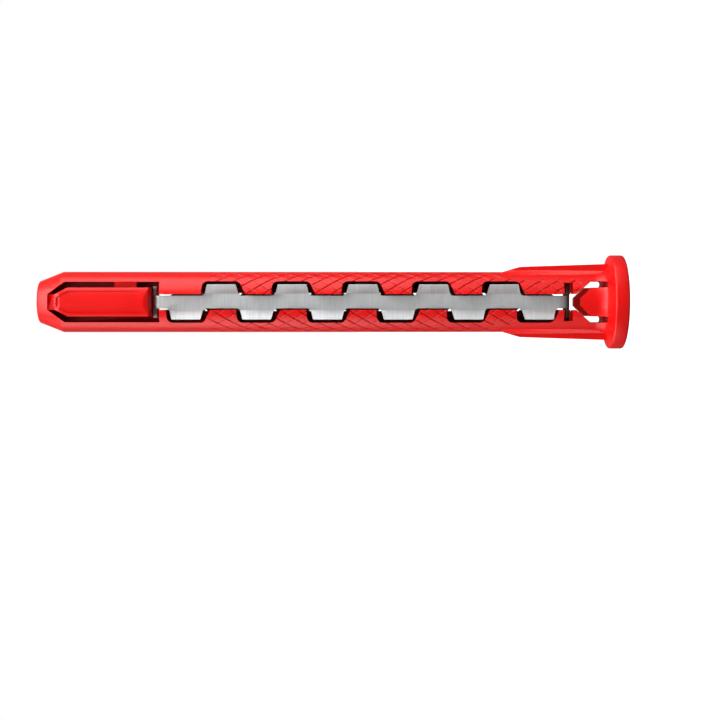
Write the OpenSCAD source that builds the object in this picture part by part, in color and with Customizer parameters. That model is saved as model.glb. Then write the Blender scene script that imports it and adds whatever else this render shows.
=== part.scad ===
// Frame-fixing wall plug: one moulded nylon sleeve that carries two pressed steel strips.
// The plug stands on its head. Z runs along its axis from the face of the head to the tip,
// the front of the plug faces -Y, and the two rails of the sleeve lie at +X and -X.
// The back of the plug is the front turned by half a turn about the axis.

/* [Body] */
// Length of the plug, from the face of its head to its tip
total_length = 97; // [90:0.5:150]
// Diameter of the body, which fits a drilled hole of that size
body_d = 10; // [9.4:0.1:11]
// Diameter of the flat end of the tip
tip_d = 6.8; // [6.4:0.1:7.6]
// Length of the cone at the tip
tip_cone_length = 4; // [3:0.1:5]
// Rounding of the edge at the end of the tip
tip_edge_r = 0.4; // [0.2:0.05:0.6]

/* [Head] */
// Diameter of the collar
collar_d = 15.6; // [14.6:0.1:18]
// Thickness of the collar
collar_t = 2.4; // [1.8:0.1:2.8]
// Rounding of the collar's edges
collar_edge_r = 0.35; // [0.2:0.05:0.6]
// How far the body widens where it meets the collar
flare_w = 1.3; // [0.8:0.05:1.5]
// Length over which the body widens below the collar
flare_length = 2.9; // [1.8:0.1:3.4]

/* [Neck ribs] */
// Width of each rib that stops the plug turning in its hole
rib_w = 3.7; // [3:0.1:4.4]
// Rounding between a rib and the body
rib_fillet_r = 1; // [0.5:0.05:1.3]
// Length of a rib from the collar to its far end
rib_length = 17.8; // [14:0.1:20]
// Length of the ramp at the far end of a rib
rib_ramp_length = 3; // [2:0.1:4]
// Height of a rib above the body at the top of its ramp
rib_far_h = 0.84; // [0.5:0.02:1]
// Height of a rib above the body at the collar
rib_near_h = 1.33; // [1.1:0.01:1.6]

/* [Bore] */
// Diameter of the wide bore in the head and neck
shank_bore_d = 7.1; // [6.6:0.05:7.4]
// Length of the wide bore, from the face of the head
shank_bore_length = 8.4; // [8.2:0.05:8.5]
// Diameter of the narrower bore between the strips
core_bore_d = 4.8; // [4.7:0.05:5]
// Diameter of the narrowest bore, from the strips to the tip
tip_bore_d = 4.2; // [4:0.05:4.4]
// Thickness of the wall left between the pockets at the front and at the back
mid_wall = 0.8; // [0.5:0.1:1]
// Chamfer at both mouths of the bore
mouth_chamfer = 0.35; // [0.2:0.05:0.5]

/* [Toothed slot] */
// Distance from the face of the head to the toothed part
zone_start = 10.3; // [10:0.05:11]
// Distance from the toothed part to the tip
zone_to_tip = 20.2; // [19.6:0.1:22]
// Distance from one gap between teeth to the next gap on the same side
tooth_pitch = 11.5; // [11:0.1:13]
// Width of the slot between the ends of the teeth
slot_w = 2.6; // [2.4:0.05:2.8]
// Depth of the gap between two teeth, from the ends of the teeth
gap_depth = 2.11; // [2.05:0.01:2.25]
// Length of a gap at its floor
gap_floor_length = 5.96; // [5.9:0.02:6.1]
// How far the side of a gap that is nearer the tip leans outwards
gap_lean_tip = 0.24; // [0.2:0.02:0.4]
// How far the side of a gap that is nearer the head leans outwards
gap_lean_head = 1.1; // [1:0.02:1.2]
// Rounding of the corners at the floor of a gap
gap_corner_r = 0.95; // [0.5:0.05:1]
// Distance from the start of the toothed part to the middle of its first gap
first_gap = 4.7; // [4.7:0.05:5]
// Shortest tooth that is left at the tip end of the toothed part
least_end_tooth = 0.9; // [0.5:0.1:1.5]

/* [Steel strips] */
// Outer diameter of the sleeve that the tabs of both strips form
strip_d = 6; // [5.9:0.02:6.1]
// Thickness of the sheet
sheet_t = 0.6; // [0.4:0.05:0.7]
// Width of the band that runs along each strip
band_w = 2.08; // [1.9:0.02:2.2]
// Length of a tab at the band
tab_root_length = 5.7; // [5.4:0.02:5.8]
// Length of a tab at its free edge
tab_edge_length = 4.7; // [4.4:0.02:4.8]
// How far the first tab lies headwards of the middle of its gap, which falls to nothing at the last tab
tab_lag = 0.7; // [0:0.05:0.75]
// Rounding where a tab leaves the band
tab_fillet_r = 0.5; // [0.3:0.05:0.5]
// Gap between the free edge of a tab and the floor of the gap it lies in
tab_edge_gap = 0.1; // [0.05:0.01:0.3]
// Width of the bent plate at each end of a strip
plate_w = 5.2; // [4.6:0.1:5.6]
// Depth of the bent plate, measured from the face of the band
plate_depth = 2.2; // [1.8:0.05:2.25]
// Outer radius of the bend between the band and its end plates
bend_r = 1; // [0.8:0.05:1.1]
// Height that the round notch leaves in the middle of an end plate
notch_land = 0.2; // [0.15:0.05:0.4]
// Play between an end plate and the toothed part that it grips
plate_play = 0.6; // [0.5:0.05:0.7]

/* [Recess for the head plate] */
// Gap between the end of the recess and the plate
recess_end_gap = 0.23; // [0.2:0.01:0.25]
// Gap between the sides of the recess and the plate
recess_side_gap = 0.54; // [0.2:0.02:0.6]

/* [Window and tongue at the tip] */
// Wall between the window and the tip
window_end_wall = 1.9; // [1.6:0.1:2.2]
// Width of the window
window_w = 6.66; // [6.5:0.02:6.8]
// Width of the window at its end
window_end_w = 2.6; // [2.2:0.1:3]
// Length over which the window narrows
window_nose_length = 2.8; // [2.4:0.1:3.2]
// Gap between the long sides of the tongue and the window
tongue_side_gap = 0.97; // [0.85:0.01:1.05]
// Gap between the end of the tongue and the end of the window
tongue_end_gap = 0.95; // [0.8:0.05:1.1]
// Width of the tongue at its end
tongue_end_w = 2.16; // [1.8:0.02:2.4]
// Length over which the tongue narrows
tongue_nose_length = 2.4; // [2:0.1:2.8]
// Distance from the strips to the free end of the tongue
tongue_free_gap = 0.2; // [0.1:0.05:0.4]
// Rounding of the free end of the tongue
tongue_free_r = 1.5; // [0.8:0.1:1.5]
// Width of the rim round the sunk panel of the tongue
panel_rim = 0.52; // [0.4:0.02:0.7]
// Distance from the free end of the tongue to the sunk panel
panel_start = 1.7; // [1.6:0.05:2.2]
// Depth of the sunk panel
panel_depth = 0.15; // [0.1:0.01:0.25]
// Depth of the shelf that joins the tongue to the tip, below the body's surface
shelf_depth = 1.2; // [0.8:0.05:1.5]
// Distance from the toothed part to the web that holds the side of the tongue
web_start = 3.8; // [3:0.1:5]
// Length of the web that holds the side of the tongue
web_length = 3.6; // [2.5:0.1:5]
// Distance from the axis to the outer face of the web
web_reach = 3.3; // [3.2:0.05:3.4]

/* [Slot and tongue at the head] */
// Distance from the collar to the end of the slot
head_slot_start = 0.6; // [0.4:0.02:0.8]
// Distance from the end of the slot to the place where it starts to narrow
head_slot_straight = 2.77; // [2.5:0.01:2.9]
// Length over which the slot narrows to the width of the toothed slot
head_slot_nose = 2.65; // [2.4:0.01:2.7]
// Width over both arms of the slot
head_slot_w = 6.8; // [6.6:0.02:7]
// Width of the tongue
head_tongue_w = 4.76; // [4.6:0.02:4.9]
// Width of the tongue at its tip
head_tongue_tip_w = 1.3; // [1.1:0.02:1.5]
// Distance from the head's face to the shoulders of the tongue
head_tongue_shoulder = 5.86; // [5.7:0.02:6]
// Distance from the head's face to the tip of the tongue
head_tongue_tip = 7.6; // [7.4:0.02:7.8]

/* [Hidden] */
nylon_red = [0.9, 0.11, 0.1];
steel_grey = [0.7, 0.7, 0.72];

$fn = 96;
// Steps in the rounding of one corner
arc_steps = 5;
// Overlap that keeps a cut or a joint clear of a shared face
eps = 0.05;

body_r = body_d / 2;
collar_r = collar_d / 2;
shank_bore_r = shank_bore_d / 2;
core_bore_r = core_bore_d / 2;
tip_bore_r = tip_bore_d / 2;
slot_half = slot_w / 2;
gap_floor_x = slot_half + gap_depth;
window_half = window_w / 2;
window_end_half = window_end_w / 2;
// Circle that touches the body and reaches the collar at the widest point of the flare
flare_r = (flare_w * flare_w + flare_length * flare_length) / (2 * flare_w);
// Half-size of the block that every slot is cut from
reach = body_r + 1;

zone_end = total_length - zone_to_tip;
window_end = total_length - window_end_wall;

// Gaps lie on the -X and the +X side in turn, half a pitch apart
half_pitch = tooth_pitch / 2;
last_gap_limit = zone_end - least_end_tooth - gap_floor_length / 2 - gap_lean_tip;
gap_count = floor((last_gap_limit - zone_start - first_gap) / half_pitch) + 1;
function gap_z(i) = zone_start + first_gap + i * half_pitch;
function gap_side(i) = i % 2 == 0 ? -1 : 1;
// The tabs are spaced a little wider than the gaps, because the moulding has shrunk
function tab_z(i) = gap_z(i) - tab_lag * (1 - i / (gap_count - 1));

strip_r = strip_d / 2;
band_half = band_w / 2;
// The flat band is a chord of the round sleeve that the tabs form
band_y = sqrt(strip_r * strip_r - band_half * band_half);
band_inner_y = band_y - sheet_t;
tab_inner_r = strip_r - sheet_t;
// Where the inner face of a tab leaves the inner face of the band
tab_start_x = sqrt(tab_inner_r * tab_inner_r - band_inner_y * band_inner_y);
// The end plates begin where the bend is complete
plate_y = band_y - bend_r;
notch_r = plate_y - notch_land;
strip_start = zone_start - plate_play - sheet_t;
strip_end = zone_end + plate_play + sheet_t;
recess_start = strip_start - recess_end_gap;

tongue_half = window_half - tongue_side_gap;
tongue_end_half = tongue_end_w / 2;
tongue_end = window_end - tongue_end_gap;
tongue_start = strip_end + tongue_free_gap;
shelf_y = body_r - shelf_depth;
// The narrow bore to the tip starts between the strips and the tongues
tip_bore_start = strip_end + tongue_free_gap / 2;

head_slot_z = collar_t + head_slot_start;
head_slot_shoulder = head_slot_z + head_slot_straight;
head_slot_tip = head_slot_shoulder + head_slot_nose;
head_slot_half = head_slot_w / 2;
head_tongue_half = head_tongue_w / 2;
head_tongue_tip_half = head_tongue_tip_w / 2;
// Each arm of the slot at the head ends in a half circle
head_arm_r = (head_slot_half - head_tongue_half) / 2;

// Unit vector along v
function unit(v) = v / norm(v);

// Points of the arc of radius r that rounds corner b between its neighbours a and c
function corner_arc(a, b, c, r) =
    let (
        u = unit(a - b),
        v = unit(c - b),
        half = acos(u * v) / 2,
        centre = b + unit(u + v) * r / sin(half),
        from = b + u * r / tan(half) - centre,
        to = b + v * r / tan(half) - centre,
        turn = atan2(from.x * to.y - from.y * to.x, from * to),
        start = atan2(from.y, from.x)
    )
    [for (k = [0 : arc_steps]) centre + r * [cos(start + turn * k / arc_steps), sin(start + turn * k / arc_steps)]];

// Outline through corners [x, y, r], each rounded with its own radius r, or sharp where r is 0
function rounded(corners) =
    let (n = len(corners), at = [for (c = corners) [c.x, c.y]])
    [for (i = [0 : n - 1]) each
        corners[i].z == 0 ? [at[i]] : corner_arc(at[(i + n - 1) % n], at[i], at[(i + 1) % n], corners[i].z)];

// Cut or block with the given outline in X and Z, from distance near to distance far in front
module to_front(near, far) {
    translate([0, -near, 0]) rotate([90, 0, 0]) linear_extrude(far - near) children();
}

// Both halves of a feature that repeats after half a turn about the axis
module front_and_back() {
    children();
    rotate([0, 0, 180]) children();
}

// Both halves of an outline that is the same at +X and -X
module left_and_right() {
    children();
    mirror([1, 0]) children();
}

// Body, flare and tip, with its surface sunk by an equal depth all over
module body_shape(sunk = 0) {
    rotate_extrude() polygon(rounded([
        [0, 0, 0],
        [body_r - sunk, 0, 0],
        [body_r - sunk, total_length - tip_cone_length, 0],
        [tip_d / 2 - sunk, total_length, tip_edge_r],
        [0, total_length, 0]
    ]));
}

// Collar with rounded edges
module collar() {
    rotate_extrude() polygon(rounded([
        [0, 0, 0],
        [collar_r, 0, collar_edge_r],
        [collar_r, collar_t, collar_edge_r],
        [0, collar_t, 0]
    ]));
}

// Hollow curve that widens the body up to the collar
module flare() {
    rotate_extrude() translate([0, collar_t]) difference() {
        translate([0, -eps]) square([body_r + flare_w, flare_length + eps]);
        translate([body_r + flare_r, flare_length]) circle(flare_r);
    }
}

// Cross-section of both neck ribs, with the hollow curves that join them to the body
module rib_section() {
    centre_y = rib_w / 2 + rib_fillet_r;
    centre_x = sqrt(pow(body_r + rib_fillet_r, 2) - centre_y * centre_y);
    square([2 * collar_r, rib_w], center = true);
    left_and_right() for (side = [-1, 1]) difference() {
        polygon([[0, 0], [centre_x, side * rib_w / 2], [centre_x, side * centre_y]]);
        translate([centre_x, side * centre_y]) circle(rib_fillet_r);
    }
}

// Neck ribs, which rise from the body along a ramp and grow slowly up to the collar
module neck_ribs() {
    rib_end = collar_t + rib_length;
    ramp_top = rib_end - rib_ramp_length;
    intersection() {
        translate([0, 0, collar_t - eps]) linear_extrude(rib_length + eps) rib_section();
        rotate([90, 0, 0]) linear_extrude(2 * reach, center = true) left_and_right() polygon([
            [0, collar_t - eps],
            [body_r + rib_near_h, collar_t - eps],
            [body_r + rib_far_h, ramp_top],
            [body_r - eps, rib_end],
            [0, rib_end]
        ]);
    }
}

// Mouth of a bore of radius r, which widens towards its open end at z = 0
module mouth(r) {
    translate([0, 0, -eps])
        cylinder(r1 = r + mouth_chamfer + eps, r2 = r, h = mouth_chamfer + eps);
}

// Bore from the head to the tip
module bore() {
    translate([0, 0, -eps]) cylinder(r = shank_bore_r, h = shank_bore_length + eps);
    translate([0, 0, eps]) cylinder(r = core_bore_r, h = tip_bore_start - eps);
    translate([0, 0, 2 * eps]) cylinder(r = tip_bore_r, h = total_length);
    mouth(shank_bore_r);
    translate([0, 0, total_length]) mirror([0, 0, 1]) mouth(tip_bore_r);
}

// Outline of one gap between teeth, open towards the slot
module gap_outline(i) {
    z = gap_z(i);
    side = gap_side(i);
    half = gap_floor_length / 2;
    polygon(rounded([
        [0, z + half + gap_lean_tip, 0],
        [side * slot_half, z + half + gap_lean_tip, 0],
        [side * gap_floor_x, z + half, gap_corner_r],
        [side * gap_floor_x, z - half, gap_corner_r],
        [side * slot_half, z - half - gap_lean_head, 0],
        [0, z - half - gap_lean_head, 0]
    ]));
}

// Winding slot between the two rows of teeth
module toothed_slot_outline() {
    translate([-slot_half, recess_start + eps]) square([slot_w, zone_end - recess_start]);
    for (i = [0 : gap_count - 1]) gap_outline(i);
}

// Recess that takes the end plate of a strip at the head
module plate_recess_outline() {
    recess_w = plate_w + 2 * recess_side_gap;
    translate([-recess_w / 2, recess_start]) square([recess_w, zone_start - recess_start]);
}

// Half of the window at the tip
module window_outline() {
    left_and_right() polygon([
        [-eps, zone_end],
        [window_half, zone_end],
        [window_half, window_end - window_nose_length],
        [window_end_half, window_end],
        [-eps, window_end]
    ]);
}

// Outline of the tongue at the tip, or of its sunk panel, which lies inside a rim of equal width
module tongue_outline(inset, start) {
    slant = atan2(tongue_half - tongue_end_half, tongue_nose_length);
    left_and_right() polygon([
        [-eps, start],
        [tongue_half - inset, start],
        [tongue_half - inset, tongue_end - tongue_nose_length - inset * tan(slant / 2)],
        [tongue_end_half - inset * tan(45 - slant / 2), tongue_end - inset],
        [-eps, tongue_end - inset]
    ]);
}

// Two-armed slot round the tongue at the head, which runs into the toothed slot
module head_slot_outline() {
    arm_z = head_slot_z + head_arm_r;
    difference() {
        left_and_right() {
            polygon([
                [-eps, arm_z],
                [head_slot_half, arm_z],
                [head_slot_half, head_slot_shoulder],
                [slot_half, head_slot_tip],
                [slot_half, recess_start + 2 * eps],
                [-eps, recess_start + 2 * eps]
            ]);
            translate([head_slot_half - head_arm_r, arm_z]) circle(head_arm_r);
        }
        left_and_right() polygon([
            [-eps, collar_t],
            [head_tongue_half, collar_t],
            [head_tongue_half, head_tongue_shoulder],
            [head_tongue_tip_half, head_tongue_tip],
            [-eps, head_tongue_tip]
        ]);
    }
}

// Rounding of the free end of the tongue at the tip
module tongue_rounding() {
    difference() {
        translate([-tongue_half - eps, -reach, tongue_start - eps])
            cube([2 * (tongue_half + eps), reach - body_r + tongue_free_r, tongue_free_r + eps]);
        translate([0, -body_r + tongue_free_r, tongue_start + tongue_free_r])
            rotate([0, 90, 0]) cylinder(r = tongue_free_r, h = 2 * reach, center = true);
    }
}

// Everything that is cut from the front half of the sleeve
module front_cuts() {
    to_front(mid_wall / 2, reach) toothed_slot_outline();
    to_front(mid_wall / 2, reach) plate_recess_outline();
    to_front(0, reach) head_slot_outline();
    difference() {
        to_front(mid_wall / 2, reach) difference() {
            window_outline();
            tongue_outline(0, tongue_start);
        }
        to_front(0, shelf_y) translate([-window_end_half, tongue_end - eps])
            square([2 * window_end_half, window_end - tongue_end + 2 * eps]);
        to_front(0, web_reach) translate([tongue_half - eps, zone_end + web_start])
            square([tongue_side_gap + 2 * eps, web_length]);
    }
    difference() {
        to_front(core_bore_r, reach) tongue_outline(panel_rim, tongue_start + panel_start);
        body_shape(panel_depth);
    }
    tongue_rounding();
}

module nylon_sleeve() {
    color(nylon_red) difference() {
        union() {
            body_shape();
            collar();
            flare();
            neck_ribs();
        }
        bore();
        front_and_back() front_cuts();
    }
}

// Band with its two bends, seen from the side and carried across the band's width
module strip_band() {
    rotate([90, 0, 90]) linear_extrude(band_w, center = true) difference() {
        polygon(rounded([
            [-band_y, strip_start, bend_r],
            [-band_y, strip_end, bend_r],
            [-plate_y, strip_end, 0],
            [-plate_y, strip_start, 0]
        ]));
        polygon(rounded([
            [-band_inner_y, strip_start + sheet_t, bend_r - sheet_t],
            [-band_inner_y, strip_end - sheet_t, bend_r - sheet_t],
            [0, strip_end - sheet_t, 0],
            [0, strip_start + sheet_t, 0]
        ]));
    }
}

// Outline of the tab that lies in gap i
module tab_outline(i) {
    z = tab_z(i);
    side = gap_side(i);
    root = tab_root_length / 2;
    edge = tab_edge_length / 2;
    // The outline runs along the band past the fillets at the tab's root
    foot = root + tab_fillet_r + eps;
    polygon(rounded([
        [side * tab_start_x, z + foot, 0],
        [side * band_half, z + foot, 0],
        [side * band_half, z + root, tab_fillet_r],
        [side * strip_r, z + edge, 0],
        [side * strip_r, z - edge, 0],
        [side * band_half, z - root, tab_fillet_r],
        [side * band_half, z - foot, 0],
        [side * tab_start_x, z - foot, 0]
    ]));
}

// Tabs, which curve round the bore in the gaps between the teeth
module strip_tabs() {
    intersection() {
        translate([0, 0, strip_start]) difference() {
            cylinder(r = strip_r, h = strip_end - strip_start);
            translate([0, 0, -eps]) cylinder(r = tab_inner_r, h = strip_end - strip_start + 2 * eps);
        }
        to_front(mid_wall / 2 + tab_edge_gap, reach) for (i = [0 : gap_count - 1]) tab_outline(i);
    }
}

// End plate across the slot, with a round notch about the axis of the bore
module end_plate(z) {
    translate([0, 0, z]) linear_extrude(sheet_t) difference() {
        translate([-plate_w / 2, -plate_y]) square([plate_w, plate_depth - bend_r]);
        circle(notch_r);
    }
}

module strip() {
    color(steel_grey) {
        strip_band();
        strip_tabs();
        end_plate(strip_start);
        end_plate(strip_end - sheet_t);
    }
}

module front_strip() {
    strip();
}

module rear_strip() {
    rotate([0, 0, 180]) strip();
}

nylon_sleeve();
front_strip();
rear_strip();
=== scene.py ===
# %% [markdown]
# # A frame-fixing wall plug
# The real object is one long nylon moulding with a pressed steel strip let into each face. The lesson loads
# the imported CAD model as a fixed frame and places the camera. Then it adds the moulding's small forms, cuts
# its grip pattern, presses the two strips, and gives every piece its finish and the scene its light.
# Blender works in metres. Where a cell gives its sizes in millimetres, its text says so. The plug stands on
# its head, and Z runs up along its axis to the tip.

import bmesh
import bpy
import numpy as np
from mathutils import Matrix, Vector


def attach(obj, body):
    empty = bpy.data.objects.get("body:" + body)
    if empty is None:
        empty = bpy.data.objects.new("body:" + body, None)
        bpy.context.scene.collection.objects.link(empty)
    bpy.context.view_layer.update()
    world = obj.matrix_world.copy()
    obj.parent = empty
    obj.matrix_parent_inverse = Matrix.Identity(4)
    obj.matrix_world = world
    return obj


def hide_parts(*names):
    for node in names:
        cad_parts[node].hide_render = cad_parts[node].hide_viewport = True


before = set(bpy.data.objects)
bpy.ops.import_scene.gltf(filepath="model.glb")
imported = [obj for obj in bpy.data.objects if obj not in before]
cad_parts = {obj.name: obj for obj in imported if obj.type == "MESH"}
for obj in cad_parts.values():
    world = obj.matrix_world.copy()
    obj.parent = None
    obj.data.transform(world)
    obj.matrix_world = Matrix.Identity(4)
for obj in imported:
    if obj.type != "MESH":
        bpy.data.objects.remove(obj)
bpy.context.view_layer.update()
MM = 0.001

# %% [markdown]
# ## Camera
# The plug was photographed square-on from its front, lying on its side, so the camera is rolled: the tip
# points to the left of the picture and the +X rail lies at the top. Product pictures are taken with a
# fairly long lens, which keeps the two ends at nearly the same scale. The plug lies a little above and to
# the left of the middle, and the camera is turned towards the empty side for that. A lens shift would do
# the same, but it would stay in every other view of the scene and push the plug out of their middle.

# %% Place the camera square to the plug and turn it slightly aside
PICTURE = 720
FOCAL_PIXELS = 1613.0
SENSOR = 36.0
NEAREST = 10 * MM
aim_point = Vector((0, 0, 48.12 * MM))
aim_pixel = np.array([334.2, 302.0])
distance = 269.06 * MM

right, down = (PICTURE / 2 - aim_pixel) / FOCAL_PIXELS
forward = Vector((-down, 1, -right)).normalized()
across = Vector((0, forward.z, -forward.y)).normalized()
upward = across.cross(forward)

lens = bpy.data.cameras.new("photo_camera")
lens.sensor_width = SENSOR
lens.lens = FOCAL_PIXELS / PICTURE * SENSOR
lens.clip_start = NEAREST
camera = bpy.data.objects.new("photo_camera", lens)
place = aim_point - Vector((0, distance, 0))
camera.matrix_world = Matrix.Translation(place) @ Matrix((across, upward, -forward)).transposed().to_4x4()
bpy.context.scene.collection.objects.link(camera)
bpy.context.scene.camera = camera
print(f"lens {lens.lens:.1f} mm at {distance / MM:.0f} mm from the axis")

# %% [markdown]
# ## The moulded sleeve
# On the real plug the outside of the body carries a fine diamond pattern, which the mould leaves as
# shallow V-shaped grooves that wind round the body in both directions. It could be painted on as a bump,
# but then the edge of a tooth would stay straight where a groove runs over it, and the pattern would be
# lost from the exported mesh. So it is cut. First the CAD mesh is copied and its loose triangles are
# joined into one closed skin, because a Boolean needs to know the inside from the outside.

# %% Join the CAD triangles into one closed skin
WELD = 1e-7


def welded_copy(name, source):
    """A new object with the source's mesh, in which corners that share a place are one vertex."""
    mesh = source.data.copy()
    mesh.name = name
    work = bmesh.new()
    work.from_mesh(mesh)
    bmesh.ops.remove_doubles(work, verts=work.verts, dist=WELD)
    open_edges = sum(1 for edge in work.edges if len(edge.link_faces) != 2)
    work.to_mesh(mesh)
    work.free()
    piece = bpy.data.objects.new(name, mesh)
    bpy.context.scene.collection.objects.link(piece)
    print(f"{name}: {len(mesh.polygons)} faces, {open_edges} edges without two faces")
    return piece


sleeve = welded_copy("sleeve_moulding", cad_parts["nylon_sleeve"])

# %% [markdown]
# ## Outlines
# Both the moulding's small forms and the strips start from flat outlines, in millimetres. Corners are
# rounded in the outline itself, so a rounded edge is a real curve in the mesh. A bevel afterwards would
# also round the edges that have to stay sharp.

# %% Rounded outlines, rectangles and circles
ARC_STEPS = 6
TURN_STEPS = 96


def rounded(corners):
    """Outline through corners (u, v, r): each is an arc of radius r that touches both of its sides."""
    given = np.array([corner[:2] for corner in corners], float)
    outline = []
    for at, before, after, corner in zip(given, np.roll(given, 1, 0), np.roll(given, -1, 0), corners):
        radius = corner[2]
        if radius == 0:
            outline.append(at[None])
            continue
        u = (before - at) / np.linalg.norm(before - at)
        v = (after - at) / np.linalg.norm(after - at)
        half = np.arccos(np.dot(u, v)) / 2
        centre = at + (u + v) / np.linalg.norm(u + v) * radius / np.sin(half)
        first = at + u * radius / np.tan(half) - centre
        last = at + v * radius / np.tan(half) - centre
        turn = np.arctan2(first[0] * last[1] - first[1] * last[0], np.dot(first, last))
        angle = np.arctan2(first[1], first[0]) + turn * np.linspace(0, 1, ARC_STEPS + 1)
        outline.append(centre + radius * np.stack([np.cos(angle), np.sin(angle)], axis=-1))
    return np.concatenate(outline)


def rectangle(u0, v0, u1, v1):
    """The four corners of a rectangle between two opposite ones."""
    return np.array([(u0, v0), (u1, v0), (u1, v1), (u0, v1)], float)


def circle(radius):
    """Points at equal angles round the axis, all at one distance from it."""
    angle = np.linspace(0, 2 * np.pi, TURN_STEPS, endpoint=False)
    return radius * np.stack([np.cos(angle), np.sin(angle)], axis=-1)


print("a corner has", ARC_STEPS + 1, "points and a circle has", TURN_STEPS)

# %% [markdown]
# ## Solids from outlines
# A moulding is planned as plain solids that are added and cut, and a pressed strip as two views of a sheet
# that are laid over each other. One helper carries an outline straight along an axis, another turns a
# section round the plug's axis, and a third joins, cuts or intersects two solids.

# %% Prisms, turned rings and their sums
def outward(mesh):
    """Turns all faces outwards."""
    work = bmesh.new()
    work.from_mesh(mesh)
    bmesh.ops.recalc_face_normals(work, faces=work.faces)
    work.to_mesh(mesh)
    work.free()


def new_solid(name, points, faces):
    """An object in metres from points in millimetres, with its faces turned outwards."""
    mesh = bpy.data.meshes.new(name)
    mesh.from_pydata((points * MM).tolist(), [], faces)
    outward(mesh)
    piece = bpy.data.objects.new(name, mesh)
    bpy.context.scene.collection.objects.link(piece)
    return piece


def prisms(name, outlines, near, far, axis):
    """Outlines carried straight from near to far along one axis; they give the other two coordinates."""
    points, faces, count = [], [], 0
    for outline in outlines:
        n = len(outline)
        points += [np.insert(outline, axis, level, axis=1) for level in (near, far)]
        ring = count + np.arange(n)
        following = np.roll(ring, -1)
        faces += [ring.tolist(), (ring + n).tolist()]
        faces += np.stack([ring, following, following + n, ring + n], axis=-1).tolist()
        count += 2 * n
    return new_solid(name, np.concatenate(points), faces)


def turned(name, section):
    """A closed section of (radius, height) points carried once round the Z axis."""
    radius, height = np.array(section, float).T
    x, y = circle(1.0).T[..., None] * radius
    grid = np.stack([x, y, np.broadcast_to(height, x.shape)], axis=-1)
    k = np.arange(x.size).reshape(x.shape)
    beside, above = np.roll(k, -1, 0), np.roll(k, -1, 1)
    faces = np.stack([k, beside, np.roll(beside, -1, 1), above], axis=-1).reshape(-1, 4)
    return new_solid(name, grid.reshape(-1, 3), faces.tolist())


def combine(piece, tool, operation):
    """UNION joins the tool to the piece, DIFFERENCE takes it out, INTERSECT keeps what both share."""
    step = piece.modifiers.new("sum", "BOOLEAN")
    step.operation, step.solver, step.object = operation, "MANIFOLD", tool
    result = piece.evaluated_get(bpy.context.evaluated_depsgraph_get())
    mesh = bpy.data.meshes.new_from_object(result)
    piece.modifiers.clear()
    old, piece.data = piece.data, mesh
    bpy.data.meshes.remove(old)
    bpy.data.objects.remove(tool)
    print(f"{piece.name}: {len(mesh.polygons)} faces")
    return piece


# %% [markdown]
# ## Details of the moulding
# Three small forms are added to the sleeve's copy, with sizes in millimetres. The underside of the real
# collar is a shallow cone, which stiffens it. The wall between the front and back pockets reaches in to a
# narrow bore, so little light comes through beside the strips, and a lining makes the bore at the tip
# narrow as well. All three lie inside the CAD model's box, and they sink a little into the sleeve, because
# solids that only touch don't join cleanly.

# %% Add the cone, the inner walls and the lining of the tip
COLLAR_CONE = [(4.9, 2.2), (7.5, 2.3), (4.9, 3.6)]
ARM_IN, ARM_OUT, ARM_LOW, ARM_HIGH, ARM_CORNER = 2.38, 3.4, 3.0, 6.0, 0.5
CUT_REACH = 8.0
MID_WALL = 0.39
CORE_BORE, WALL_OUT, CORE_LOW = 1.5, 2.6, 8.4
TIP_BORE, LINING_OUT, TIP_LOW, TIP_HIGH = 1.7, 2.2, 78.1, 96.4


def collar_cone():
    """The cone under the collar, with the ends of both slot arms cut through it."""
    arm = rounded([
        (ARM_IN, ARM_LOW, ARM_CORNER), (ARM_OUT, ARM_LOW, ARM_CORNER),
        (ARM_OUT, ARM_HIGH, 0), (ARM_IN, ARM_HIGH, 0),
    ])
    arms = prisms("slot_arms", [arm, arm * (-1, 1)], -CUT_REACH, CUT_REACH, 1)
    return combine(turned("collar_cone", COLLAR_CONE), arms, "DIFFERENCE")


def inner_walls():
    """Two bars of the wall between the pockets, one on each side of the narrow bore."""
    right_side = rectangle(CORE_BORE, -MID_WALL, WALL_OUT, MID_WALL)
    return prisms("inner_walls", [right_side, right_side * (-1, 1)], CORE_LOW, TIP_LOW, 2)


def tip_lining():
    """The narrow bore at the tip, as a ring inside the wider bore of the frame."""
    return turned("tip_lining", rectangle(TIP_BORE, TIP_LOW, LINING_OUT, TIP_HIGH))


for make in (collar_cone, inner_walls, tip_lining):
    combine(sleeve, make(), "UNION")

# %% [markdown]
# ## Where the pattern runs
# The grooves stop where the mould has no pattern: on the plain part at the tip, near the head, and round
# the two ribs of the neck. Front and back are the same after half a turn, so one rule in angle and height
# serves both. The angle is measured round the axis from the front face towards the upper rail.

# %% The rule that says where there is a groove
BODY_R = 5.0 * MM
STARTS = 16
LEAD = 44.8 * MM
PATTERN_TOP = 69.5 * MM
PATTERN_LOW_UPPER = 7.0 * MM
PATTERN_LOW_LOWER = 17.5 * MM
RIB_END = 20.9 * MM
RIB_CLEAR = 36.0


def patterned(angle, z):
    """True where the body carries the pattern, for arrays of angle in degrees and height."""
    turn = np.mod(angle, 180.0)
    low = np.where(turn < 90.0, PATTERN_LOW_UPPER, PATTERN_LOW_LOWER)
    on_rib = (np.abs(turn - 90.0) < RIB_CLEAR) & (z < RIB_END)
    return (z > low) & (z < PATTERN_TOP) & ~on_rib


winding = np.degrees(np.arctan(2 * np.pi * BODY_R / LEAD))
print(f"grooves lean {winding:.0f} degrees to the axis, {STARTS} in each direction")

# %% [markdown]
# ## The cutters
# Each cutter is a thin three-sided bar, wound like a thread. Its cross-section is a triangle that points
# at the axis, and it is carried along a helix: at height z the section stands at the angle
# start + hand x 360 x z / lead. The point of the triangle sinks in and rises again near each end, so a
# groove runs out gently as a cutter leaves the mould. All rings are worked out as one array.

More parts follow.
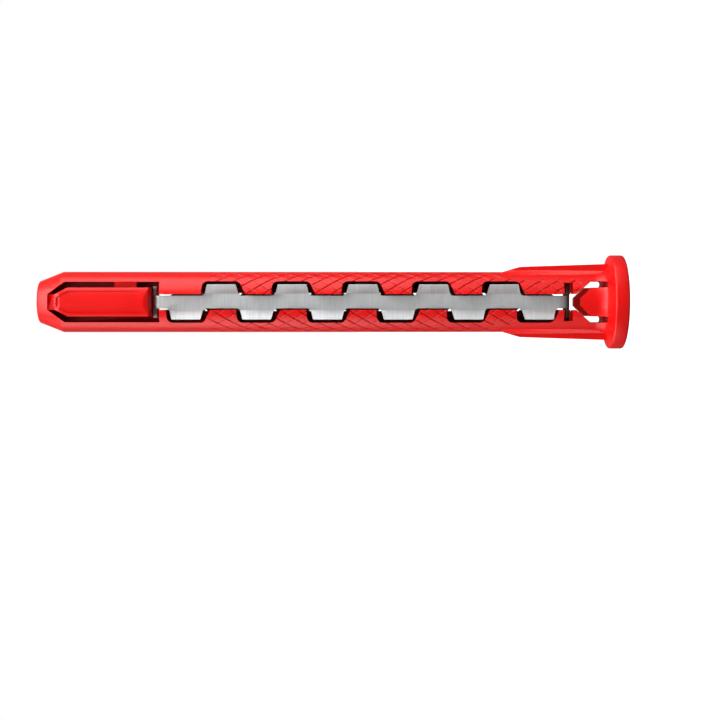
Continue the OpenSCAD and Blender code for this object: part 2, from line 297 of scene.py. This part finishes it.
# %% Carry a V-section along the helices
STEP = 0.5 * MM
GROOVE_DEPTH = 0.15 * MM
GROOVE_HALF = 0.14 * MM
OVER = 0.06 * MM
POINT_BELOW = 0.2 * OVER
RUN_OUT = 0.8 * MM
FEWEST_RINGS = 4


def groove_bars(hand):
    """Corners and faces of every bar of one hand: ring k holds the V's left, right and deep corner."""
    heights = np.arange(PATTERN_LOW_UPPER - STEP, PATTERN_TOP + 2 * STEP, STEP)
    corners, faces, count = [], [], 0
    for start in range(STARTS):
        angle = 360.0 * (start / STARTS + hand * heights / LEAD)
        inside = patterned(angle, heights).astype(int)
        ends = np.flatnonzero(np.diff(np.concatenate([[0], inside, [0]])))
        for first, last in zip(ends[0::2], ends[1::2]):
            if last - first < FEWEST_RINGS:
                continue
            z, turn = heights[first:last], np.radians(angle[first:last])
            fade = np.clip(np.minimum(z - z[0], z[-1] - z) / RUN_OUT, 0.0, 1.0)
            deep = BODY_R + OVER - (GROOVE_DEPTH + OVER) * fade
            half = GROOVE_HALF * (1 + OVER / GROOVE_DEPTH) / BODY_R
            ring = np.stack([
                round_point(BODY_R + OVER, turn - half, z),
                round_point(BODY_R + OVER, turn + half, z),
                round_point(deep - POINT_BELOW, turn, z),
            ], axis=1)
            corners.append(ring.reshape(-1, 3))
            faces.append(bar_faces(len(z)) + count)
            count += 3 * len(z)
    return np.concatenate(corners), np.concatenate(faces)


def round_point(radius, turn, z):
    """Point at a radius, an angle from the front towards +X, and a height."""
    return np.stack([radius * np.sin(turn), -radius * np.cos(turn), z], axis=-1)


def bar_faces(rings):
    """Triangles of a three-sided bar: two for each side between rings k and k + 1, and two caps."""
    k = 3 * np.arange(rings - 1)[:, None]
    a, b = np.array([0, 1, 2]), np.array([1, 2, 0])
    near = np.stack([k + a, k + b, k + 3 + b], axis=-1)
    far = np.stack([k + a, k + 3 + b, k + 3 + a], axis=-1)
    top = 3 * (rings - 1)
    caps = np.array([[2, 1, 0], [top, top + 1, top + 2]])
    return np.concatenate([near.reshape(-1, 3), far.reshape(-1, 3), caps])


def groove_cutter(name, hand):
    """One object with all the bars that wind in one direction, which never touch each other."""
    corners, faces = groove_bars(hand)
    mesh = bpy.data.meshes.new(name)
    mesh.from_pydata(corners.tolist(), [], faces.tolist())
    outward(mesh)
    cutter = bpy.data.objects.new(name, mesh)
    bpy.context.scene.collection.objects.link(cutter)
    print(f"{name}: {len(faces)} faces")
    return cutter


# %% [markdown]
# ## Cutting
# The bars of one direction never meet, so each direction is one clean cutter, and two cuts give the
# diamonds. The cut is made at once and kept as a mesh, and the cutters are thrown away.

# %% Cut both directions
for name, hand in (("right_hand_bars", 1), ("left_hand_bars", -1)):
    combine(sleeve, groove_cutter(name, hand), "DIFFERENCE")

# %% [markdown]
# ## Smooth where the mould is round, crisp where it has an edge
# The skin is made of flat triangles. Shading them smooth hides that on the round parts, and an angle
# decides where an edge stays crisp. The grooves leave long thin triangles on the body, where averaged
# normals would flicker, so there the true direction is given: straight out from the axis. The sunk panel
# of each tongue is as round as the body and is treated in the same way.

# %% Give the round body its true normals
CRISP = np.radians(20.0)
ON_BODY = 0.03 * MM
PANEL_R = 4.85 * MM
FACING_OUT = 0.985


def shade_round_body(mesh):
    """Corner normals: radial on the body and its panels, and smoothed up to the crisp angle elsewhere."""
    mesh.polygons.foreach_set("use_smooth", np.ones(len(mesh.polygons), bool))
    mesh.set_sharp_from_angle(angle=CRISP)
    normals = np.zeros(len(mesh.loops) * 3, np.float32)
    mesh.corner_normals.foreach_get("vector", normals)
    normals = normals.reshape(-1, 3)
    places = np.zeros(len(mesh.vertices) * 3, np.float32)
    mesh.vertices.foreach_get("co", places)
    places = places.reshape(-1, 3)
    corner = np.zeros(len(mesh.loops), np.int32)
    mesh.loops.foreach_get("vertex_index", corner)
    start = np.zeros(len(mesh.polygons), np.int32)
    mesh.polygons.foreach_get("loop_start", start)
    face = np.repeat(np.arange(len(start)), np.diff(np.append(start, len(mesh.loops))))

    at = places[corner]
    radius = np.hypot(at[:, 0], at[:, 1])
    radial = np.stack([at[:, 0], at[:, 1], np.zeros(len(at))], axis=1) / np.maximum(radius, WELD)[:, None]
    flat = np.zeros(len(mesh.polygons) * 3, np.float32)
    mesh.polygons.foreach_get("normal", flat)
    facing = np.abs((flat.reshape(-1, 3)[face] * radial).sum(1)) > FACING_OUT
    near = np.minimum(np.abs(radius - BODY_R), np.abs(radius - PANEL_R)) < ON_BODY
    whole = np.minimum.reduceat((near & facing).astype(int), start)[face].astype(bool)
    normals[whole] = radial[whole]
    mesh.normals_split_custom_set(normals.tolist())
    return int(whole.sum())


print("corners with a radial normal:", shade_round_body(sleeve.data))
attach(sleeve, "root")
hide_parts("nylon_sleeve")

# %% [markdown]
# ## The steel strips
# Each strip is one sheet, stamped out flat and then bent. Seen from the front it is a narrow band with a
# tab in every gap of the slot, first on one side and then on the other. Seen from its end, the tabs leave
# the band level and are then bent outwards, towards the wall of the drilled hole, so that they bite into
# it when the plug is spread. That is why the lower tabs catch the light from above and the upper ones
# don't. Seen from its side, the band turns inwards at both ends. The sizes are in millimetres.

# %% Front view, end view and side view of a strip
SHEET = 0.6
BAND_Y, BAND_HALF = 2.814, 1.04
STRIP_LOW, STRIP_HIGH = 9.1, 78.0
BEND_R = 1.0
PLATE_HALF, PLATE_FOOT, NOTCH_R = 2.6, 0.614, 1.614
TAB_COUNT, FIRST_GAP, HALF_PITCH, TAB_LAG = 11, 15.0, 5.75, 0.7
TAB_ROOT, TAB_EDGE, TAB_FILLET, TAB_CORNER = 2.85, 2.35, 0.7, 0.15
TAB_IN, TAB_PAST_FILLET = 0.3, 0.05
TAB_REACH, TAB_BEND_X, TAB_BEND_R = 2.9, 1.35, 0.4
TAB_ANGLE = np.radians(32.0)
SHEET_CORNER = 0.08


def tab_outline(i):
    """Front view of tab i, which grows from the band to the left (-X) or the right, with fillets."""
    side = -1 if i % 2 == 0 else 1
    middle = FIRST_GAP + i * HALF_PITCH - TAB_LAG * (1 - i / (TAB_COUNT - 1))
    foot = TAB_ROOT + TAB_FILLET + TAB_PAST_FILLET
    half = [
        (TAB_IN, foot, 0), (BAND_HALF, foot, 0),
        (BAND_HALF, TAB_ROOT, TAB_FILLET), (TAB_REACH, TAB_EDGE, TAB_CORNER),
    ]
    other = [(x, -z, r) for x, z, r in reversed(half)]
    return rounded(half + other) * (side, 1) + (0, middle)


def tab_section():
    """End view of the sheet: level over the band, then bent outwards on both sides."""
    rise = (TAB_REACH - TAB_BEND_X) * np.tan(TAB_ANGLE)
    inner_x = TAB_BEND_X + SHEET * np.tan(TAB_ANGLE / 2)
    inner_y = BAND_Y - SHEET
    half = [
        (TAB_BEND_X, -BAND_Y, TAB_BEND_R),
        (TAB_REACH, -BAND_Y - rise, SHEET_CORNER),
        (TAB_REACH, -BAND_Y - rise + SHEET / np.cos(TAB_ANGLE), SHEET_CORNER),
        (inner_x, -inner_y, TAB_BEND_R + SHEET),
    ]
    return rounded(half + [(-x, y, r) for x, y, r in reversed(half)])


def band_profile():
    """Side view of the band with both ends bent inwards: a long flat C."""
    inner = BAND_Y - SHEET
    return rounded([
        (-PLATE_FOOT, STRIP_LOW, 0), (-BAND_Y, STRIP_LOW, BEND_R),
        (-BAND_Y, STRIP_HIGH, BEND_R), (-PLATE_FOOT, STRIP_HIGH, 0),
        (-PLATE_FOOT, STRIP_HIGH - SHEET, 0), (-inner, STRIP_HIGH - SHEET, BEND_R - SHEET),
        (-inner, STRIP_LOW + SHEET, BEND_R - SHEET), (-PLATE_FOOT, STRIP_LOW + SHEET, 0),
    ])


print(f"the tabs reach {(TAB_REACH - TAB_BEND_X) * np.tan(TAB_ANGLE):.2f} mm beyond the band")

# %% [markdown]
# ## Pressing
# A sheet that is bent could be a flat mesh with a thickness, but the fillets at the root of a tab lie
# where the bend starts, and both are seen. So the end view is carried along the strip, the front views
# are carried through it, and what the two share is the bent tabs. The band, the tabs and the end plates
# are joined, and one round cutter takes the notch out of both plates. The rear strip is the front one
# after half a turn.

# %% Press both strips
TAB_FRONT, TAB_BACK = -4.0, -1.5
PAST_END = 1.0


def pressed_strip(name):
    """One strip: the band, its tabs and its two end plates, which have a round notch."""
    strip = prisms(name, [band_profile()], -BAND_HALF, BAND_HALF, 0)
    tabs = prisms("tabs", [tab_section()], STRIP_LOW + BEND_R, STRIP_HIGH - BEND_R, 2)
    shapes = prisms("tab_shapes", [tab_outline(i) for i in range(TAB_COUNT)], TAB_FRONT, TAB_BACK, 1)
    combine(strip, combine(tabs, shapes, "INTERSECT"), "UNION")
    plate = rectangle(-PLATE_HALF, -BAND_Y + BEND_R, PLATE_HALF, -PLATE_FOOT)
    for low in (STRIP_LOW, STRIP_HIGH - SHEET):
        combine(strip, prisms("end_plate", [plate], low, low + SHEET, 2), "UNION")
    notch = prisms("notch", [circle(NOTCH_R)], STRIP_LOW - PAST_END, STRIP_HIGH + PAST_END, 2)
    combine(strip, notch, "DIFFERENCE")
    return strip


strips = {}
for name, turn in (("front_strip", 0.0), ("rear_strip", 180.0)):
    strip = pressed_strip(name + "_pressing")
    strip.data.transform(Matrix.Rotation(np.radians(turn), 4, "Z"))
    strip.data.polygons.foreach_set("use_smooth", np.ones(len(strip.data.polygons), bool))
    strip.data.set_sharp_from_angle(angle=CRISP)
    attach(strip, "root")
    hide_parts(name)
    strips[name] = strip
    print(f"{strip.name}: {len(strip.data.polygons)} faces")

# %% [markdown]
# ## Materials as node trees
# A finish is a small network of nodes. These helpers keep the recipes short: one adds a node and sets its
# inputs by name, and the others are sums, products of colours and colour ramps.

# %% Helpers for node trees
def new_material(name):
    """An empty node material with a Principled shader, and its tree."""
    material = bpy.data.materials.new(name)
    material.use_nodes = True
    tree = material.node_tree
    tree.nodes.clear()
    output = tree.nodes.new("ShaderNodeOutputMaterial")
    shader = tree.nodes.new("ShaderNodeBsdfPrincipled")
    tree.links.new(shader.outputs["BSDF"], output.inputs["Surface"])
    return material, tree, shader


def add(tree, kind, inputs=None, **settings):
    """A node of one kind; a value in inputs is either a number or the socket that feeds it."""
    node = tree.nodes.new("ShaderNode" + kind)
    for key, value in settings.items():
        setattr(node, key, value)
    for key, value in (inputs or {}).items():
        if isinstance(value, bpy.types.NodeSocket):
            tree.links.new(value, node.inputs[key])
        else:
            node.inputs[key].default_value = value
    return node


def maths(tree, operation, a, b=0.0, clamp=False):
    """The result socket of one sum."""
    return add(tree, "Math", {0: a, 1: b}, operation=operation, use_clamp=clamp).outputs[0]


def tinted(tree, colour, tint):
    """One colour multiplied by another colour or by a grey value."""
    inputs = {"Factor": 1.0, 6: colour, 7: tint}
    return add(tree, "Mix", inputs, data_type="RGBA", blend_type="MULTIPLY").outputs[2]


def ramp(tree, factor, stops):
    """A colour ramp through (place, colour) stops, read at the factor."""
    node = add(tree, "ValToRGB", {"Fac": factor})
    elements = node.color_ramp.elements
    while len(elements) < len(stops):
        elements.new(1.0)
    for element, (place, colour) in zip(elements, stops):
        element.position, element.color = place, colour
    return node.outputs["Color"]


# %% [markdown]
# ## Depth below the skin
# Light hardly reaches into the slots, so the nylon there gets painted shade: its colour deepens with how far
# a point lies below the outer skin. The material works that out as the skin's radius minus the distance
# from the axis, where the skin is the body and, near the tip, the cone. The same depth darkens the bottom of
# the grooves with painted shade as well.

# %% Depth and groove shade as nodes
CONE_START, CONE_RISE = 93.0 * MM, 1.6 / 4.0
# Strength of the painted shade at the bottom of the grooves.
GROOVE_SHADE = 0.42
SKIN_PLAY = 0.01 * MM


def below_skin(tree):
    """Object coordinates, height, and depth of a point below the outer skin in metres."""
    place = add(tree, "TexCoord").outputs["Object"]
    x, y, z = add(tree, "SeparateXYZ", {0: place}).outputs
    squares = maths(tree, "ADD", maths(tree, "MULTIPLY", x, x), maths(tree, "MULTIPLY", y, y))
    beyond = maths(tree, "MAXIMUM", maths(tree, "SUBTRACT", z, CONE_START), 0.0)
    skin = maths(tree, "SUBTRACT", BODY_R, maths(tree, "MULTIPLY", beyond, CONE_RISE))
    return place, z, maths(tree, "SUBTRACT", skin, maths(tree, "SQRT", squares))


def groove_shade(tree, z, depth):
    """Painted shade: a factor that falls from 1 on the skin towards the bottom of a groove, below the plain
    part.
    """
    bottom = maths(tree, "DIVIDE", maths(tree, "SUBTRACT", depth, SKIN_PLAY), GROOVE_DEPTH, clamp=True)
    patterned_part = maths(tree, "LESS_THAN", z, PATTERN_TOP)
    darker = maths(tree, "MULTIPLY", maths(tree, "MULTIPLY", bottom, patterned_part), GROOVE_SHADE)
    return maths(tree, "SUBTRACT", 1.0, darker)


# %% [markdown]
# ## Red nylon
# Moulded nylon is a half-gloss plastic. A slow noise keeps the red from being perfectly even, and a very
# fine one is the grain of the mould. Thin nylon also lets light soak through. Some of that comes from
# subsurface scattering, which would be slow and noisy if it had to carry light through whole walls. So the
# inside of the neck, which looks dark red on the real plug, gets painted light: a weak red glow of its own.

# %% The nylon recipe
NYLON_RED = (0.70, 0.0026, 0.0019, 1.0)
NYLON_DEEP = (0.65, 0.0023, 0.0017, 1.0)
# The slot tint is painted shade, reached a slot depth below the skin.
SLOT_DEPTH, SLOT_PAINTED_SHADE = 1.2 * MM, (0.50, 0.40, 0.40, 1.0)
WHITE = (1.0, 1.0, 1.0, 1.0)
# Painted light: a weak red emission deep inside the neck.
GLOW, GLOW_DEPTH, GLOW_TOP = 0.22, 0.8 * MM, 8.9 * MM
GLOW_RED = (1.0, 0.02, 0.01, 1.0)
SOAK, SOAK_COLOURS, SOAK_REACH = 0.25, (1.0, 0.06, 0.05), 2.0 * MM


def neck_painted_glow(tree, z, depth):
    """Strength of the painted red glow: it grows with depth below the skin, and only inside the neck."""
    inside = maths(tree, "DIVIDE", maths(tree, "SUBTRACT", depth, GLOW_DEPTH), GLOW_DEPTH, clamp=True)
    in_neck = maths(tree, "MULTIPLY", inside, maths(tree, "LESS_THAN", z, GLOW_TOP))
    return maths(tree, "MULTIPLY", in_neck, GLOW)


def red_nylon():
    """Half-gloss red nylon, darkened by painted shade below the skin, with a fine moulded grain."""
    material, tree, shader = new_material("red_nylon_moulded")
    place, z, depth = below_skin(tree)
    slow = add(tree, "TexNoise", {"Vector": place, "Scale": 260.0, "Detail": 3.0}).outputs["Fac"]
    grain = add(tree, "TexNoise", {"Vector": place, "Scale": 5200.0, "Detail": 2.0}).outputs["Fac"]
    red = ramp(tree, slow, [(0.35, NYLON_DEEP), (0.65, NYLON_RED)])
    # Painted shade: the red is tinted darker with depth below the skin, in the slots and at the bottom of the
    # grooves.
    sunk = maths(tree, "DIVIDE", depth, SLOT_DEPTH, clamp=True)
    shade = ramp(tree, sunk, [(0.20, WHITE), (1.0, SLOT_PAINTED_SHADE)])
    colour = tinted(tree, red, tinted(tree, shade, groove_shade(tree, z, depth)))
    rough = add(tree, "MapRange", {"Value": slow, "To Min": 0.30, "To Max": 0.38}).outputs[0]
    bump = add(tree, "Bump", {"Strength": 0.12, "Distance": 0.02 * MM, "Height": grain}).outputs[0]
    tree.links.new(colour, shader.inputs["Base Color"])
    tree.links.new(rough, shader.inputs["Roughness"])
    tree.links.new(bump, shader.inputs["Normal"])
    # Painted light: the neck's red emission stands in for light soaking through the walls.
    tree.links.new(neck_painted_glow(tree, z, depth), shader.inputs["Emission Strength"])
    shader.inputs["Emission Color"].default_value = GLOW_RED
    shader.inputs["Specular IOR Level"].default_value = 0.33
    shader.inputs["IOR"].default_value = 1.53
    shader.inputs["Subsurface Weight"].default_value = SOAK
    shader.inputs["Subsurface Radius"].default_value = SOAK_COLOURS
    shader.inputs["Subsurface Scale"].default_value = SOAK_REACH
    return material


nylon = red_nylon()
sleeve.data.materials.clear()
sleeve.data.materials.append(nylon)
print("nylon nodes:", len(nylon.node_tree.nodes))

# %% [markdown]
# ## Strip steel
# The strips are pressed from bright rolled sheet. Rolling leaves fine lines, which here run across the
# strip, so the pattern is a noise that is squeezed along the strip and stretched across it. A second noise
# makes the sheet cloudy. The bend and the plate at the head lie in deep shade and look nearly black on the
# real plug, so painted shade darkens the colour over the last two millimetres there.

# %% The steel recipe
STEEL_DARK = (0.49, 0.525, 0.53, 1.0)
STEEL_LIGHT = (0.66, 0.70, 0.705, 1.0)
ACROSS, ALONG = 260.0, 7000.0
# Painted shade: the steel's colour falls towards the head, where the bend and plate lie in shade.
HEAD_SHADE_LOW, HEAD_SHADE_HIGH, HEAD_PAINTED_SHADE = 9.2 * MM, 11.0 * MM, 0.15


def strip_steel():
    """Rolled steel with fine lines across the strip and cloudy patches, darkened by painted shade at the
    head.
    """
    material, tree, shader = new_material("strip_steel_rolled")
    place = add(tree, "TexCoord").outputs["Object"]
    drawn = add(tree, "Mapping", {"Vector": place, "Scale": (ACROSS, ACROSS, ALONG)}).outputs[0]
    rolling = {"Vector": drawn, "Scale": 1.0, "Detail": 4.0, "Roughness": 0.6}
    lines = add(tree, "TexNoise", rolling).outputs["Fac"]
    clouds = add(tree, "TexNoise", {"Vector": place, "Scale": 480.0, "Detail": 2.0}).outputs["Fac"]
    tone = maths(tree, "ADD", maths(tree, "MULTIPLY", lines, 0.7), maths(tree, "MULTIPLY", clouds, 0.3))
    colour = ramp(tree, tone, [(0.3, STEEL_DARK), (0.7, STEEL_LIGHT)])
    z = add(tree, "SeparateXYZ", {0: place}).outputs[2]
    # Painted shade: the colour is multiplied down over the last two millimetres at the head.
    fall = {"Value": z, "From Min": HEAD_SHADE_LOW, "From Max": HEAD_SHADE_HIGH, "To Min": HEAD_PAINTED_SHADE, "To Max": 1.0}
    shaded = tinted(tree, colour, add(tree, "MapRange", fall).outputs[0])
    sheen = {"Value": tone, "From Min": 0.3, "From Max": 0.7, "To Min": 0.50, "To Max": 0.40}
    rough = add(tree, "MapRange", sheen).outputs[0]
    bump = add(tree, "Bump", {"Strength": 0.25, "Distance": 0.01 * MM, "Height": lines}).outputs[0]
    tree.links.new(shaded, shader.inputs["Base Color"])
    tree.links.new(rough, shader.inputs["Roughness"])
    tree.links.new(bump, shader.inputs["Normal"])
    shader.inputs["Metallic"].default_value = 0.5
    return material


steel = strip_steel()
for strip in strips.values():
    strip.data.materials.clear()
    strip.data.materials.append(steel)
print("steel nodes:", len(steel.node_tree.nodes))

# %% [markdown]
# ## Floor
# The floor is a wide disc that the camera sees as white. A truly white floor under a standing plug would
# throw its light up into the red and wash it out. So the paint is dark, and it shines white to the camera
# alone.

# %% A pale floor disc
FLOOR_STEPS = 96
FLOOR_RINGS = [0.05, 0.2, 0.8, 3.0]
FLOOR_PAINT = (0.12, 0.12, 0.12, 1.0)
FLOOR_SEEN = 1.2


def floor_disc():
    """A disc round the foot of the plug: rings at growing radii, each a circle of equal angles."""
    turn = np.linspace(0, 2 * np.pi, FLOOR_STEPS, endpoint=False)
    x, y = np.outer(FLOOR_RINGS, np.cos(turn)), np.outer(FLOOR_RINGS, np.sin(turn))
    grid = np.stack([x, y, np.zeros_like(x)], axis=-1)
    points = np.concatenate([np.zeros((1, 3)), grid.reshape(-1, 3)])
    here = 1 + np.arange(FLOOR_STEPS)
    after = np.roll(here, -1)
    faces = np.stack([np.zeros_like(here), here, after], axis=-1).tolist()
    quad = np.stack([here, here + FLOOR_STEPS, after + FLOOR_STEPS, after], axis=-1)
    for ring in range(len(FLOOR_RINGS) - 1):
        faces += (quad + FLOOR_STEPS * ring).tolist()
    mesh = bpy.data.meshes.new("pale_floor")
    mesh.from_pydata(points.tolist(), [], faces)
    disc = bpy.data.objects.new("pale_floor", mesh)
    bpy.context.scene.collection.objects.link(disc)
    return disc


floor = floor_disc()
paint, tree, shader = new_material("pale_floor_paint")
seen = add(tree, "LightPath").outputs["Is Camera Ray"]
shader.inputs["Base Color"].default_value = FLOOR_PAINT
shader.inputs["Roughness"].default_value = 0.9
shader.inputs["Specular IOR Level"].default_value = 0.1
shader.inputs["Emission Color"].default_value = WHITE
tree.links.new(maths(tree, "MULTIPLY", seen, FLOOR_SEEN), shader.inputs["Emission Strength"])
floor.data.materials.append(paint)
print(f"floor: {len(floor.data.polygons)} faces, {2 * FLOOR_RINGS[-1]:.0f} m across")

# %% [markdown]
# ## Surroundings
# The world is white to the camera as well, but it gives the plug only a weak light, nearly all of it from
# behind. So the face that the camera sees is lit by the soft boxes alone, its slots and gaps stay dark,
# and the back isn't black in other views.

# %% White surroundings with a weak light from behind
AMBIENT_FRONT, AMBIENT_BACK = 0.03, 0.22
FRONT_END, BACK_START = -0.4, 0.3


def white_studio():
    """White to the camera; to the plug, a light that grows from the front (-Y) to the back."""
    world = bpy.data.worlds.new("white_studio")
    world.use_nodes = True
    tree = world.node_tree
    way = add(tree, "TexCoord").outputs["Generated"]
    along = add(tree, "SeparateXYZ", {0: way}).outputs[1]
    growth = {"Value": along, "From Min": FRONT_END, "From Max": BACK_START}
    growth.update({"To Min": AMBIENT_FRONT, "To Max": AMBIENT_BACK})
    light = add(tree, "MapRange", growth, interpolation_type="SMOOTHSTEP").outputs[0]
    seen = add(tree, "LightPath").outputs["Is Camera Ray"]
    strength = add(tree, "Mix", {"Factor": seen, 2: light, 3: 1.0}, data_type="FLOAT").outputs[0]
    ground = tree.nodes["Background"]
    ground.inputs["Color"].default_value = WHITE
    tree.links.new(strength, ground.inputs["Strength"])
    return world


bpy.context.scene.world = white_studio()
print(f"world light: {AMBIENT_FRONT} from the front, {AMBIENT_BACK} from behind")

# %% [markdown]
# ## Soft boxes
# Small parts are lit from both sides by large soft boxes, with nothing bright beside the camera. That
# gives the plug its two long highlights. A third box beyond the tip, a little in front of the plug, lights
# the flat face of the strip and the cone of the tip, and a small fourth one fills the corner below it.

# %% Soft boxes at both sides and beyond the tip
def soft_box(name, place, size, watts):
    """A rectangular area light that looks at the middle of the plug."""
    data = bpy.data.lights.new(name, "AREA")
    data.shape, data.size, data.size_y, data.energy = "RECTANGLE", size[0], size[1], watts
    light = bpy.data.objects.new(name, data)
    towards = aim_point - Vector(place)
    light.matrix_world = Matrix.Translation(place) @ towards.to_track_quat("-Z", "Y").to_matrix().to_4x4()
    bpy.context.scene.collection.objects.link(light)
    return light


soft_box("upper_soft_box", (0.44, -0.12, 0.10), (0.46, 0.60), 2.9)
soft_box("lower_soft_box", (-0.45, -0.04, 0.10), (0.40, 0.60), 2.2)
soft_box("tip_soft_box", (0.10, -0.29, 0.42), (0.78, 0.34), 4.6)
soft_box("tip_corner_box", (-0.30, -0.20, 0.48), (0.24, 0.20), 0.5)

view = bpy.context.scene.view_settings
view.view_transform = "Standard"
